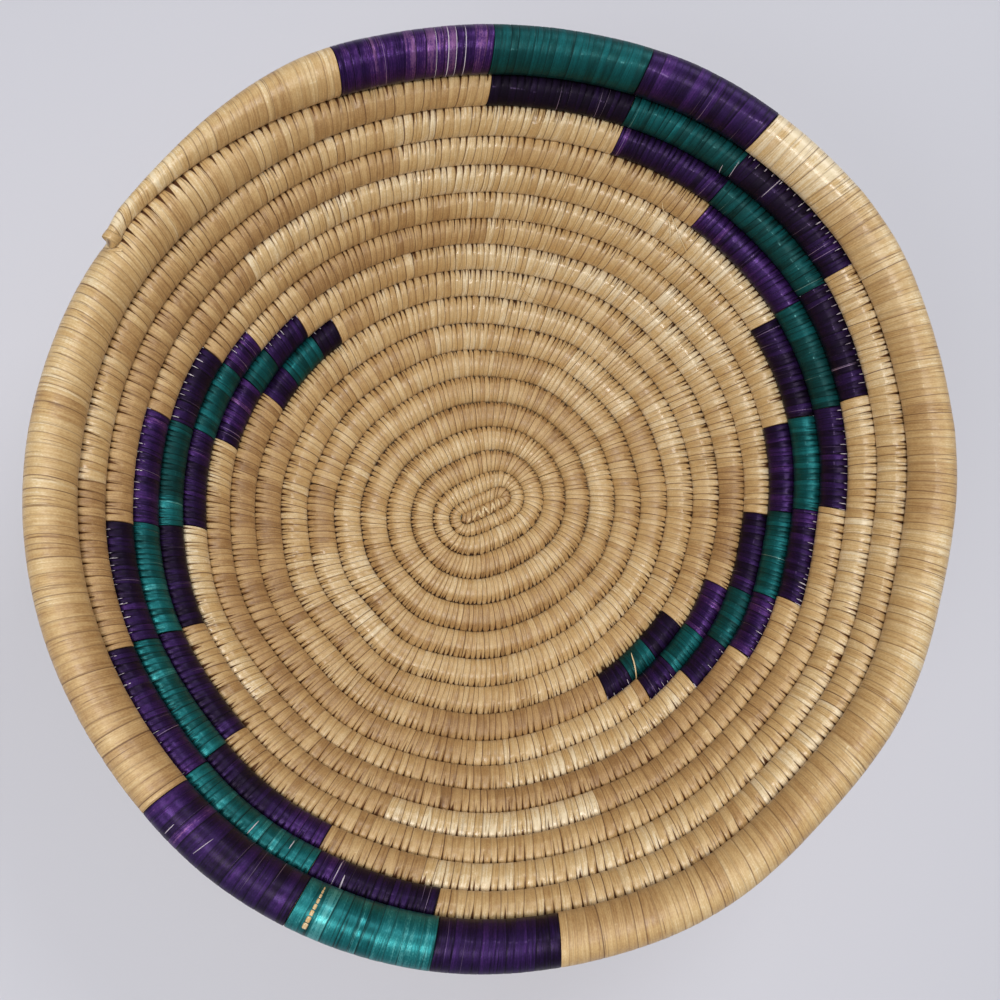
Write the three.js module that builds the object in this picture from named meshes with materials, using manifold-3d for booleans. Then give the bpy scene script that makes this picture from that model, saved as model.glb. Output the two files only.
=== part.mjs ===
// A coiled basket bowl. One long bundle of grass winds outwards from an oval start, first flat, then up the
// wall, and ends in a fatter turn that is the rim. Raffia is wrapped round the bundle all the way, natural
// but for two stepped motifs, where each row shows a purple, a green and a purple stretch.
// Millimetres, +Z up, standing on Z = 0. Turns count along the bundle: turn 0 points along the oval's axis.

import * as THREE from 'three';
import Module from 'manifold-3d';

// The spiral
const START_ANGLE = 28; // degrees, the long axis of the oval start
const FIRST_GROOVE = 4.6; // from the oval's ends to the groove after the first row
const START_PITCH = 4.4; // from row to row at the start
const BODY_PITCH = 11; // from row to row further out
const PITCH_GROWTH = 1.6; // turns over which the rows thicken
const OVAL_HALF = 7.6; // half of the oval's straight length
const OVAL_FADE = 8.5; // turns over which the oval becomes round
const OVAL_END_SHARPNESS = 3.2; // how suddenly the straight sides turn into the oval's ends
const OUT_OF_ROUND = 2.4; // the rim's deviation from a circle
const OUT_OF_ROUND_ANGLE = 51; // degrees, where the rim is widest
const LOBE_SIZE = 1.5; // of the rim's three low bulges
const LOBE_ANGLE = 40; // degrees, where the first of them is
const LOBES = 3;
const TIP_START = -0.42; // turns
const CORE_START = 0.2;
const TAIL_END = 17.343;

// The bowl's profile, followed by the middle of the coil
const BASE_REACH = 42.8; // flat from the middle to here
const CURVE_LENGTH = 73.3; // then bending upwards along this length
const WALL_SLOPE = 55; // degrees, straight from there on

// The rim
const RIM_PITCH = 15.2; // room of the last turn
const TAIL_PITCH = 6; // room at its very end
const RIM_SWELL_START = 16.2; // turns
const RIM_SWELL_END = 16.32;
const TAIL_TAPER_START = 17.25;

// The bundle and what is wrapped round it
const TURN_GAP = 0.5; // between the wraps of neighbouring rows
const WRAP_WALL = 0.8;
const CORE_CLEARANCE = 0.35;
const END_GAP = 0.3; // between one stretch of wraps and the next
const FLAT_SHARE = 0.1; // how much of a row's width is pressed flat where it stands
const STRAND_WIDTH = 2; // the purple strand that is carried along under the green wraps
const STRAND_THICKNESS = 0.8;
const STRAND_CLEARANCE = 0.3;
const STRAND_GRIP = 2.5; // length that is fused to the purple wraps at each end
const STRAND_TUCK = 0.4; // where it leaves their wall, before their end

// Where the natural wraps of the middle change from one working strand to the next, in turns
const WORKING_STRANDS = [CORE_START, 3, 4, 5.2, 6.4, 7.6];

// The steps of the two motifs, in degrees. Each row shows three neighbouring steps, purple, green and
// purple, and the row outside it starts one step further on.
const LEFT_STEPS = [131, 137, 147, 154.5, 168.5, 187, 205, 224, 244, 261, 276];
const RIGHT_STEPS = [302, 309, 317, 327, 339.5, 357, 374.5, 393, 414.5, 432.5, 453.5, 474.5];
const STEPS_PER_ROW = 3;
const LAST_MOTIF_TURN = 16;

// How finely the solids are drawn
const FINE_STEPS = 24; // sections a turn
const COARSE_EVERY = 2; // near the middle only every second one is used
const FINE_FROM = 5; // turns
const SIDES = 6;

const { clamp, degToRad, lerp, smoothstep } = THREE.MathUtils;
const FULL_TURN = 2 * Math.PI;
const CORNER_RATIO = Math.cos(Math.PI / SIDES); // from a section's corners to its flats
const BODY_WIDTH = BODY_PITCH - TURN_GAP;
const BASE_HEIGHT = BODY_WIDTH * (CORNER_RATIO / 2 - FLAT_SHARE); // middle of the coil above the ground

// How far the groove outside a turn lies from the middle, along the profile
function grooveReach(turn) {
  if (turn < 0) return Math.max(0, FIRST_GROOVE + START_PITCH * turn);
  const lag = PITCH_GROWTH * (1 - Math.exp(-turn / PITCH_GROWTH));
  return FIRST_GROOVE + BODY_PITCH * turn - (BODY_PITCH - START_PITCH) * lag;
}

// The room of a row, from groove to groove: even on the body, wide on the rim, narrow at the tail
function rowRoom(turn) {
  const body = grooveReach(turn) - grooveReach(turn - 1);
  const swell = smoothstep(turn, RIM_SWELL_START, RIM_SWELL_END);
  const taper = smoothstep(turn, TAIL_TAPER_START, TAIL_END);
  return lerp(lerp(body, RIM_PITCH, swell), TAIL_PITCH, taper);
}

// The groove outside a turn where the rim's wider rows are counted in: the tail lies outside one of them
function outerReach(turn) {
  return turn < RIM_SWELL_START ? grooveReach(turn) : outerReach(turn - 1) + rowRoom(turn);
}

// Radius and height of the profile at a reach: flat, then an arc, then a straight wall
function profile(reach) {
  const slope = degToRad(WALL_SLOPE);
  const curveRadius = CURVE_LENGTH / slope;
  const bend = clamp(reach - BASE_REACH, 0, CURVE_LENGTH) / curveRadius;
  const straight = Math.max(0, reach - BASE_REACH - CURVE_LENGTH);
  return {
    radius: Math.min(reach, BASE_REACH) + curveRadius * Math.sin(bend) + straight * Math.cos(slope),
    height: curveRadius * (1 - Math.cos(bend)) + straight * Math.sin(slope),
  };
}

const RIM_REACH = grooveReach(TAIL_END - 1);

// A point on the profile at a reach, in the direction of a turn, with the oval of the start added
function coilPoint(turn, reach) {
  const angle = degToRad(START_ANGLE) + FULL_TURN * turn;
  const { radius, height } = profile(reach);
  const oval = OUT_OF_ROUND * Math.cos(2 * (angle - degToRad(OUT_OF_ROUND_ANGLE)));
  const lobes = LOBE_SIZE * Math.cos(LOBES * (angle - degToRad(LOBE_ANGLE)));
  const r = radius + (oval + lobes) * (reach / RIM_REACH) ** 2;
  const side = Math.tanh(OVAL_END_SHARPNESS * Math.cos(FULL_TURN * turn)) / Math.tanh(OVAL_END_SHARPNESS);
  const shift = OVAL_HALF * side * Math.exp(-Math.max(turn, 0) / OVAL_FADE);
  const axis = degToRad(START_ANGLE);
  return new THREE.Vector3(
    r * Math.cos(angle) + shift * Math.cos(axis),
    r * Math.sin(angle) + shift * Math.sin(axis),
    BASE_HEIGHT + height,
  );
}

// A row's cross-section lies between its two grooves: the tip's row lies across the middle seam
function section(turn) {
  const innerTurn = turn < 0 ? -1 - turn : turn - 1;
  const inner = coilPoint(innerTurn, outerReach(innerTurn));
  const outer = coilPoint(turn, outerReach(turn));
  const across = outer.clone().sub(inner);
  const width = across.length() - TURN_GAP;
  across.normalize();
  const up = new THREE.Vector3(0, 0, 1).addScaledVector(across, -across.z).normalize();
  return { centre: inner.add(outer).multiplyScalar(0.5), across, up, width };
}

// A six-sided outline whose lower flat may lie higher than its upper one, as [across, up] points
function outline(halfWidth, floor) {
  return Array.from({ length: SIDES }, (_, i) => {
    const angle = (FULL_TURN * i) / SIDES;
    const height = halfWidth * Math.sin(angle);
    return [halfWidth * Math.cos(angle), Math.max(height, floor)];
  });
}

const boreFloor = (width) => width * (FLAT_SHARE - CORNER_RATIO / 2) + WRAP_WALL;
const boreHalf = (width) => width / 2 - WRAP_WALL / CORNER_RATIO;
const wrapOutline = (width) => outline(width / 2, -width);
const boreOutline = (width) => outline(boreHalf(width), boreFloor(width));
const carriedFrom = (width) => boreFloor(width) + STRAND_CLEARANCE;
const carriedTo = (width) => carriedFrom(width) + STRAND_THICKNESS;

function coreOutline(width, turn) {
  const bare = boreFloor(width) + CORE_CLEARANCE;
  const overStrand = carriedTo(width) + STRAND_CLEARANCE;
  const floor = lerp(bare, overStrand, smoothstep(turn, FIRST_MOTIF_TURN - 1, FIRST_MOTIF_TURN));
  return outline(boreHalf(width) - CORE_CLEARANCE / CORNER_RATIO, floor);
}

// The points of an outline at a turn, pressed flat where they would reach below the ground
function ringAtStation(turn, outlineOf) {
  const { centre, across, up, width } = section(turn);
  return outlineOf(width, turn).map(([x, y]) => {
    const point = centre.clone().addScaledVector(across, x).addScaledVector(up, y);
    point.z = Math.max(point.z, 0);
    return point;
  });
}

// The same between two stations, on the straight lines that join them, so that all pieces stay parallel
function ring(turn, outlineOf) {
  const steps = turn < FINE_FROM ? FINE_STEPS / COARSE_EVERY : FINE_STEPS;
  const before = Math.floor(turn * steps) / steps;
  const share = (turn - before) * steps;
  const from = ringAtStation(before, outlineOf);
  if (share === 0) return from;
  const to = ringAtStation(before + 1 / steps, outlineOf);
  return from.map((point, i) => point.lerp(to[i], share));
}

function stationsBetween(from, to) {
  const inside = [];
  for (let i = Math.ceil(from * FINE_STEPS); i < to * FINE_STEPS; i += 1) {
    const turn = i / FINE_STEPS;
    const used = turn > FINE_FROM || i % COARSE_EVERY === 0;
    if (turn > from && used) inside.push(turn);
  }
  return [from, ...inside, to];
}

// A closed solid through rings of points, with a bore through it if inner rings are given
function sweep(outerRings, innerRings = null) {
  const sides = outerRings[0].length;
  const points = outerRings.flat();
  const innerStart = points.length;
  if (innerRings) points.push(...innerRings.flat());
  const last = outerRings.length - 1;
  const faces = [];
  const quad = (a, b, c, d) => faces.push(a, b, c, a, c, d);
  for (let j = 0; j < sides; j += 1) {
    const next = (j + 1) % sides;
    for (let k = 0; k < last; k += 1) {
      const a = k * sides + j;
      const b = k * sides + next;
      quad(a, a + sides, b + sides, b);
      if (innerRings) quad(innerStart + b, innerStart + b + sides, innerStart + a + sides, innerStart + a);
    }
    const endA = last * sides + j;
    const endB = last * sides + next;
    if (innerRings) {
      quad(j, next, innerStart + next, innerStart + j);
      quad(endB, endA, innerStart + endA, innerStart + endB);
    } else if (j > 0 && j < sides - 1) {
      faces.push(0, j, next);
      faces.push(last * sides, endB, endA);
    }
  }
  const geometry = new THREE.BufferGeometry();
  geometry.setAttribute('position', new THREE.Float32BufferAttribute(points.flatMap((p) => p.toArray()), 3));
  geometry.setIndex(faces);
  return geometry;
}

const wasm = await Module();
wasm.setup();

function toSolid(geometry) {
  const vertProperties = new Float32Array(geometry.attributes.position.array);
  const triVerts = new Uint32Array(geometry.index.array);
  return new wasm.Manifold(new wasm.Mesh({ numProp: 3, vertProperties, triVerts }));
}

function fromSolid(solid) {
  const mesh = solid.getMesh();
  const geometry = new THREE.BufferGeometry();
  geometry.setAttribute('position', new THREE.BufferAttribute(new Float32Array(mesh.vertProperties), 3));
  geometry.setIndex(new THREE.BufferAttribute(new Uint32Array(mesh.triVerts), 1));
  return geometry;
}

// Millimetres along the coil as a share of a turn
function asTurns(length, turn) {
  const probe = 1 / FINE_STEPS;
  const chord = section(turn + probe).centre.distanceTo(section(turn).centre);
  return (length * probe) / chord;
}

// Raffia wound closely round the bundle from one turn to another: a sleeve with the bundle's bore
function wrapGeometry(from, to) {
  const half = END_GAP / 2;
  const stations = stationsBetween(from + asTurns(half, from), to - asTurns(half, to));
  const outer = stations.map((turn) => ring(turn, wrapOutline));
  const bore = stations.map((turn) => ring(turn, boreOutline));
  return sweep(outer, bore);
}

// The carried strand: thin under the green, thicker at its ends, where it reaches into the purple wall
function strandGeometry(from, to) {
  const grips = [from - asTurns(STRAND_GRIP, from), to + asTurns(STRAND_GRIP, to)];
  const leaves = stationsBetween(from - asTurns(STRAND_TUCK, from), to + asTurns(STRAND_TUCK, to));
  const rings = [grips[0], ...leaves, grips[1]].map((turn) => {
    const held = grips.includes(turn);
    return ring(turn, (width) => {
      const low = held ? boreFloor(width) - WRAP_WALL / 2 : carriedFrom(width);
      const high = carriedTo(width);
      const side = STRAND_WIDTH / 2;
      return [[side, low], [side, high], [-side, high], [-side, low]];
    });
  });
  return sweep(rings);
}

// One purple strand shows before and after the green, and is carried along under it
function purpleGeometry([start, greenStart, greenEnd, end]) {
  const before = toSolid(wrapGeometry(start, greenStart));
  const after = toSolid(wrapGeometry(greenEnd, end));
  const strand = toSolid(strandGeometry(greenStart, greenEnd));
  return fromSolid(before.add(strand).add(after));
}

// The rows of a motif, each as the four turns where its colours change
function motifRows(steps) {
  const rows = steps.length - STEPS_PER_ROW;
  return Array.from({ length: rows }, (_, row) => {
    const turn = LAST_MOTIF_TURN - (rows - 1 - row);
    return steps.slice(row, row + STEPS_PER_ROW + 1).map((angle) => turn + (angle - START_ANGLE) / 360);
  });
}

const MOTIF_ROWS = [...motifRows(LEFT_STEPS), ...motifRows(RIGHT_STEPS)].sort((a, b) => a[0] - b[0]);
const FIRST_MOTIF_TURN = MOTIF_ROWS[0][0];

const GRASS = { color: 0xa98f5e, roughness: 0.85 };
const NATURAL = { color: 0xc3ab88, roughness: 0.6 };
const PURPLE = { color: 0x3a2340, roughness: 0.5 };
const GREEN = { color: 0x1f6f68, roughness: 0.5 };

const bowl = new THREE.Group();

function addPiece(name, geometry, look) {
  geometry.computeVertexNormals();
  const mesh = new THREE.Mesh(geometry, new THREE.MeshStandardMaterial({ ...look, metalness: 0 }));
  mesh.name = name;
  bowl.add(mesh);
  return mesh;
}

const numbered = (name, index) => `${name}_${String(index + 1).padStart(2, '0')}`;

function addStartTip() {
  const stations = stationsBetween(TIP_START, CORE_START - asTurns(END_GAP / 2, CORE_START));
  addPiece('start_tip', sweep(stations.map((turn) => ring(turn, wrapOutline))), NATURAL);
}

function addCore(turns) {
  addPiece('grass_core', sweep(turns.map((turn) => ring(turn, coreOutline))), GRASS);
}

function addNaturalWraps() {
  const starts = [...WORKING_STRANDS, ...MOTIF_ROWS.map((row) => row[STEPS_PER_ROW])];
  const ends = [...WORKING_STRANDS.slice(1), ...MOTIF_ROWS.map((row) => row[0]), TAIL_END];
  starts.forEach((start, i) => {
    const name = i === starts.length - 1 ? 'tail_wrap' : numbered('natural_wrap', i);
    addPiece(name, wrapGeometry(start, ends[i]), NATURAL);
  });
}

function addMotifWraps() {
  MOTIF_ROWS.forEach((row, i) => {
    addPiece(numbered('purple_wrap', i), purpleGeometry(row), PURPLE);
    addPiece(numbered('green_wrap', i), wrapGeometry(row[1], row[2]), GREEN);
  });
}

// The least distance between points of two neighbouring rows of the same outline
function leastGap(turns, outlineOf) {
  const rings = turns.map((turn) => ring(turn, outlineOf));
  let least = Infinity;
  rings.forEach((points, i) => {
    rings.forEach((others, k) => {
      if (Math.abs(turns[k] - turns[i] - 1) > 1 / FINE_STEPS) return;
      for (const a of points) {
        for (const b of others) least = Math.min(least, a.distanceTo(b));
      }
    });
  });
  return least.toFixed(2);
}

const coreTurns = stationsBetween(CORE_START, TAIL_END - asTurns(END_GAP, TAIL_END));
addStartTip();
addCore(coreTurns);
addNaturalWraps();
addMotifWraps();
console.log(`least gap of the core to itself: ${leastGap(coreTurns, coreOutline)} mm`);
console.log(`least gap between rows of wraps: ${leastGap(coreTurns, wrapOutline)} mm`);

// The origin lies on the ground, under the middle of the bowl's outer box
const box = new THREE.Box3().setFromObject(bowl);
const middle = box.getCenter(new THREE.Vector3());
bowl.position.set(-middle.x, -middle.y, 0);

export default bowl;
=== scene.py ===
# %% [markdown]
# # A coiled basket bowl
# A bowl like this is one long bundle of grass, wound outwards like a snail's shell. Raffia is wrapped round
# the bundle as it winds, and every wrap bites into the row before it. A lathe shape with a painted look would
# be quicker, but its rows would be rings and its stitches flat. Here every row is a tube that follows the
# spiral, and every stitch is a strip in its surface. The pieces take the place of plain solids, so these are
# loaded first.

# %% Load the solids
import math

import bmesh
import bpy
import numpy as np
from mathutils import Matrix


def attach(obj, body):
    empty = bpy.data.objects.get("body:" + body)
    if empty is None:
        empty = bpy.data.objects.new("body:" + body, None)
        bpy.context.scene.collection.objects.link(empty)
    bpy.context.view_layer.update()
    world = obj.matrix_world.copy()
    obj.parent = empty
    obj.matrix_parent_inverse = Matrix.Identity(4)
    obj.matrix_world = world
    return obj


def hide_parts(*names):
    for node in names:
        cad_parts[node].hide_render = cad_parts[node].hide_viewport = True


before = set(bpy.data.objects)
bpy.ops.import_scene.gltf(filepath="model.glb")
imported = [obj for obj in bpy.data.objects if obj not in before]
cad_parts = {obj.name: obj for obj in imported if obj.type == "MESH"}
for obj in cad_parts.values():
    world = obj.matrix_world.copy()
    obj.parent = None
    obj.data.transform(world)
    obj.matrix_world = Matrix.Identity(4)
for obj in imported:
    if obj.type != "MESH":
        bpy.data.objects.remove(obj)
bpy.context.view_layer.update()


def added(name, data):
    made = bpy.data.objects.new(name, data)
    bpy.context.scene.collection.objects.link(made)
    return made


# %% [markdown]
# A weaver starts with a thin, bent bundle and lets it grow over the first turns. A place along it is counted
# in turns, and its distance from the middle along the bowl's profile. A curve with a bevel could follow the
# spiral too, but here the wraps of one row can ask where those of the next will be. Lengths are in
# millimetres and become metres when a mesh is made.

# %% The spiral's measures
MM = 0.001
START_ANGLE = 28.0
FIRST_GROOVE = 4.6
START_PITCH = 4.4
BODY_PITCH = 11.0
PITCH_GROWTH = 1.6
TIP_START = -0.42
CORE_START = 0.2
TAIL_END = 17.343
RIM_PITCH = 15.2
RIM_SWELL = (16.2, 16.32)
TAIL_PITCH = 4.8
TAIL_TAPER = (17.235, 17.338)


def smoothstep(x, low, high):
    share = np.clip((x - low) / (high - low), 0, 1)
    return share * share * (3 - 2 * share)


def groove_reach(turn):
    """How far the groove outside a turn lies from the middle, along the profile."""
    lag = PITCH_GROWTH * (1 - np.exp(-np.maximum(turn, 0) / PITCH_GROWTH))
    spiral = FIRST_GROOVE + BODY_PITCH * turn - (BODY_PITCH - START_PITCH) * lag
    return np.where(turn < 0, np.maximum(0, FIRST_GROOVE + START_PITCH * turn), spiral)


def row_room(turn):
    """The room of a row, from groove to groove."""
    body = groove_reach(turn) - groove_reach(turn - 1)
    swollen = body + (RIM_PITCH - body) * smoothstep(turn, *RIM_SWELL)
    return swollen + (TAIL_PITCH - swollen) * smoothstep(turn, *TAIL_TAPER)


def outer_reach(turn):
    """The groove outside a turn where the rim's wide rows are counted in: the tail lies outside one."""
    turn = np.asarray(turn, float)
    reach = np.array(groove_reach(turn), float)
    wide = turn >= RIM_SWELL[0]
    if wide.any():
        reach[wide] = outer_reach(turn[wide] - 1) + row_room(turn[wide])
    return reach


print("room of row 5 and of the rim:", row_room(np.array([5.0, 17.0])))

# %% [markdown]
# No row of a real basket runs quite true. If each point moved by itself, the rows would come apart. So a few
# slow waves bend the whole bowl in its own surface, and neighbouring rows stay in touch.

# %% Waviness
waves = np.random.default_rng(7)
COUNTS = range(3, 13)
HEIGHTS, STARTS, DRIFTS = [waves.uniform(low, high, len(COUNTS))
                           for low, high in ((0.05, 0.24), (0, 2 * math.pi), (-0.045, 0.045))]
WAVE_FROM = (15.0, 70.0)


def waviness(angle, reach):
    """How far the surface is pushed outwards along the profile, in mm."""
    total = sum(height * np.cos(count * angle + start + drift * reach)
                for count, height, start, drift in zip(COUNTS, HEIGHTS, STARTS, DRIFTS))
    return total * smoothstep(reach, *WAVE_FROM)


print("height of all waves in mm:", HEIGHTS.sum())

# %% [markdown]
# The bowl's middle is oval and its rim slightly out of round. A round bowl could be squeezed afterwards, but
# its stitches would be squeezed too, so both are part of the formula that places a point. A row's section is
# built from the two grooves that it lies between.

# %% Points and sections
BASE_REACH = 42.8
CURVE_LENGTH = 73.3
WALL_SLOPE = math.radians(55)
BASE_HEIGHT = 3.497
RIM_REACH = float(groove_reach(np.array(TAIL_END - 1)))
OVAL_HALF = 7.6
OVAL_FADE = 8.5
OVAL_SHARPNESS = 3.2
OUT_OF_ROUND, OUT_OF_ROUND_ANGLE = 2.4, math.radians(51.0)
LOBES, LOBE_SIZE, LOBE_ANGLE = 3, 1.5, math.radians(40.0)
TAIL_BEND = (17.330, TAIL_END)
TAIL_BEND_ANGLE = math.radians(12)


def profile(reach):
    """Radius and height of the bowl's profile: flat, then an arc, then a straight wall."""
    curve_radius = CURVE_LENGTH / WALL_SLOPE
    bend = np.clip(reach - BASE_REACH, 0, CURVE_LENGTH) / curve_radius
    straight = np.maximum(0, reach - BASE_REACH - CURVE_LENGTH)
    radius = np.minimum(reach, BASE_REACH) + curve_radius * np.sin(bend) + straight * math.cos(WALL_SLOPE)
    height = curve_radius * (1 - np.cos(bend)) + straight * math.sin(WALL_SLOPE)
    return radius, height


def coil_point(turn, reach, wavy=True):
    """A point on the profile in the direction of a turn, with the oval start added."""
    axis = math.radians(START_ANGLE)
    angle = axis + 2 * math.pi * turn
    radius, height = profile(reach + (waviness(angle, reach) if wavy else 0))
    oval = OUT_OF_ROUND * np.cos(2 * (angle - OUT_OF_ROUND_ANGLE))
    lobes = LOBE_SIZE * np.cos(LOBES * (angle - LOBE_ANGLE))
    r = radius + (oval + lobes) * (reach / RIM_REACH) ** 2
    side = np.tanh(OVAL_SHARPNESS * np.cos(2 * math.pi * turn)) / math.tanh(OVAL_SHARPNESS)
    shift = OVAL_HALF * side * np.exp(-np.maximum(turn, 0) / OVAL_FADE)
    x = r * np.cos(angle) + shift * math.cos(axis)
    y = r * np.sin(angle) + shift * math.sin(axis)
    return np.stack([x, y, BASE_HEIGHT + height + 0 * x], axis=-1)


def unit(vectors):
    return vectors / np.linalg.norm(vectors, axis=-1, keepdims=True)


def section(turn, wavy=True):
    """A row's section: its centre, the directions across and up, and its room."""
    turn = np.asarray(turn, float)
    inner_turn = np.where(turn < 0, -1 - turn, turn - 1)
    inner = coil_point(inner_turn, outer_reach(inner_turn), wavy)
    across = coil_point(turn, outer_reach(turn), wavy) - inner
    room = np.linalg.norm(across, axis=-1)
    across = across / room[..., None]
    up = unit(np.array([0, 0, 1.0]) - across * across[..., 2:])
    bend = (TAIL_BEND_ANGLE * smoothstep(turn, *TAIL_BEND))[..., None]
    beside = inner - across * RIM_PITCH / 2
    aside, above = across * np.cos(bend) + up * np.sin(bend), up * np.cos(bend) - across * np.sin(bend)
    return beside + aside * ((RIM_PITCH + room) / 2)[..., None], aside, above, room


print("radius and height inside the rim:", profile(RIM_REACH))

# %% [markdown]
# The solids stand with the middle of their box at the origin, which isn't the middle of the coil. It could be
# measured on them, but the same formulas place their outermost corners and give it exactly.

# %% Middle of the box and length along the coil
STEPS_PER_TURN = 24
TURN_GAP = 0.5
LAST_ROWS = 1.5
rim_steps = np.arange(math.ceil((TAIL_END - LAST_ROWS) * STEPS_PER_TURN), TAIL_END * STEPS_PER_TURN)
rim_centre, rim_across, _, rim_room = section(rim_steps / STEPS_PER_TURN, wavy=False)
corners = rim_centre + rim_across * ((rim_room - TURN_GAP) / 2)[:, None]
MIDDLE = np.array([*(corners.min(0) + corners.max(0))[:2] / 2, 0])


def lengths_along(points):
    return np.concatenate([[0], np.cumsum(np.linalg.norm(np.diff(points, axis=0), axis=1))])


TABLE_TURNS = np.linspace(TIP_START - 0.1, TAIL_END + 0.05, 12000)
TABLE_LENGTHS = lengths_along(section(TABLE_TURNS)[0])
TABLE_SPEEDS = np.gradient(TABLE_LENGTHS, TABLE_TURNS)


def mm_per_turn(turn):
    return np.interp(turn, TABLE_TURNS, TABLE_SPEEDS)


def length_at(turn):
    return np.interp(turn, TABLE_TURNS, TABLE_LENGTHS)


def turn_at(length):
    return np.interp(length, TABLE_LENGTHS, TABLE_TURNS)


print("middle of the box:", MIDDLE, "length of the coil:", TABLE_LENGTHS[-1])

# %% [markdown]
# Each row of a motif starts one step further round than the row before it, which makes the stairs. A picture
# could be laid over the rows, but on the real bowl each step is a stretch of one strand, so it is one here
# too. The angles are those where the colours change.

# %% Where the colours change
LEFT_STEPS = [131, 137, 147, 154.5, 168.5, 187, 205, 224, 244, 261, 276]
RIGHT_STEPS = [302, 309, 317, 327, 339.5, 357, 374.5, 393, 414.5, 432.5, 453.5, 474.5]
STEPS_PER_ROW = 3
LAST_MOTIF_TURN = 16
WORKING_STRANDS = [CORE_START, 3, 4, 5.2, 6.4, 7.6]


def motif_rows(steps):
    rows = len(steps) - STEPS_PER_ROW
    for row in range(rows):
        turn = LAST_MOTIF_TURN - (rows - 1 - row)
        yield [turn + (angle - START_ANGLE) / 360 for angle in steps[row:row + STEPS_PER_ROW + 1]]


MOTIF_ROWS = sorted([*motif_rows(LEFT_STEPS), *motif_rows(RIGHT_STEPS)])
natural_from = [*WORKING_STRANDS, *[row[3] for row in MOTIF_ROWS]]
natural_to = [*WORKING_STRANDS[1:], *[row[0] for row in MOTIF_ROWS], TAIL_END]
print("rows of the motifs:", len(MOTIF_ROWS), "natural stretches:", len(natural_from))

# %% [markdown]
# A stitch is about 2 mm wide near the middle and 3 mm at the rim. Equal widths would look machine-made, so
# each is drawn at random. One strand makes 9 to 33 stitches, so the tone changes by strand and drifts a little
# along it, and now and then a dyed stitch has taken less colour. The usual tone is also looked up by direction
# round the bowl: for natural strands this is partly a browner side and partly painted light and shade.

# %% Widths and tones
STITCH_WIDTHS = ([0, 1, 4, 7, 13, 16.2, 16.35], [1.85, 1.8, 1.95, 2.35, 2.85, 2.95, 3.2])
DYED_NARROWER = 0.8
WIDTH_SPREAD = (0.82, 1.2)
PULLED_SHARE = 0.3
PULLED_WIDTHS = (0.75, 1.3)
LAST_STITCH = 0.5
STRAND_WIDTHS = (0.84, 1.14)
STRAND_STITCHES = (9, 34)
STRAND_TONE = (1.6, 1.6)
STRAND_DRIFT = (-0.012, 0.012)
LIGHT_STRIP = 0.26
LIGHT_STRIP_CHANCE = 0.09
NATURAL_SPREAD = ([5, 12], [0.6, 1.0])
# darker on the start's first stretch: painted shade under the middle's zigzag strips; paler on the rim: partly
# its own tone, partly painted sheen
TIP_SHADE_AND_RIM_PALENESS = ([-0.2, -0.15, 0.4, 16.2, 16.3], [-0.1, 0.0, 0.0, 0.0, 0.14])
DYED_SPREAD = {"purple": 0.8, "green": 0.55}
DYED_RIM_LIFT = {"purple": ([200, 225, 245, 262], [0.23, 0.42, 0.34, 0.02]), "green": ([0, 360], [0.03, 0.03])}
DYED_WALL_LIFT = ([5, 25, 75, 100], [0.0, -0.13, -0.13, 0.0])
DIRECTIONS_COUNT = (6, 10)
# natural tone by direction round the bowl: partly browner strands on one side, partly painted light and shade
# on each side
SIDE_TONES_AND_LIGHT = (range(0, 361, 30),
                [0.14, 0.3, 0.26, 0.2, -0.22, -0.4, -0.27, -0.2, -0.2, -0.02, 0.02, -0.2, 0.14])


def direction(turn):
    """The side of the bowl on which a turn lies, in degrees."""
    return (START_ANGLE + 360 * turn) % 360


def strand_tone(kind, here, drawn):
    """The drawn tone, moved by the strand's row and side of the bowl."""
    if kind in DYED_SPREAD:
        lifts = DYED_RIM_LIFT[kind] if here > RIM_SWELL[0] else DYED_WALL_LIFT
        return 0.5 + (drawn - 0.5) * DYED_SPREAD[kind] + np.interp(direction(here), *lifts)
    drawn += np.interp(here, *TIP_SHADE_AND_RIM_PALENESS)
    tone = 0.5 + (drawn - 0.5) * np.interp(here, *NATURAL_SPREAD)
    side_tone_and_light = np.interp(direction(here), *SIDE_TONES_AND_LIGHT)
    return tone + side_tone_and_light * smoothstep(here, *DIRECTIONS_COUNT) * (here < RIM_SWELL[0])


print("a natural strand's tone at turn 12:", strand_tone("natural", 12.0, 0.5))

# %% [markdown]
# Stitches are laid off as they are sewn, in millimetres along the coil, because a turn near the oval middle
# is short on its bends and long on its straights. Even spacing would be simpler, but a stitch is pulled so
# that its middle falls between two stitches of the row inside it.

# %% Stitches
dice = np.random.default_rng(21)


def stitch_edges(kind, start, end, inner_edges):
    """The turns at which a stretch's stitches meet, and each one's tone."""
    dyed = kind in DYED_SPREAD
    fineness = DYED_NARROWER if dyed and start <= RIM_SWELL[0] else 1.0
    edges, tones, left = [start], [], 0
    while edges[-1] < end:
        here = edges[-1]
        if left == 0:
            strand, left = dice.uniform(*STRAND_WIDTHS), dice.integers(*STRAND_STITCHES)
            drawn, drift = dice.beta(*STRAND_TONE), dice.uniform(*STRAND_DRIFT)
            tone = strand_tone(kind, here, drawn)
        left -= 1
        tone = np.clip(tone + drift, 0, 1)
        tones.append(tone + LIGHT_STRIP * (dyed and dice.uniform() < LIGHT_STRIP_CHANCE))
        usual = np.interp(here, *STITCH_WIDTHS) * strand * fineness
        following = turn_at(length_at(here) + usual * dice.uniform(*WIDTH_SPREAD))
        middle = (here + following) / 2
        nearest = inner_edges[np.abs(inner_edges + 1 - middle).argmin()] + 1
        if abs(nearest - middle) < PULLED_SHARE * (following - here):
            shortest, longest = (share * usual for share in PULLED_WIDTHS)
            width = np.clip(2 * (length_at(nearest) - length_at(here)), shortest, longest)
            following = turn_at(length_at(here) + width)
        edges.append(end if length_at(end) - length_at(following) < LAST_STITCH * usual else following)
    return np.array(edges), np.array(tones)


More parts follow.
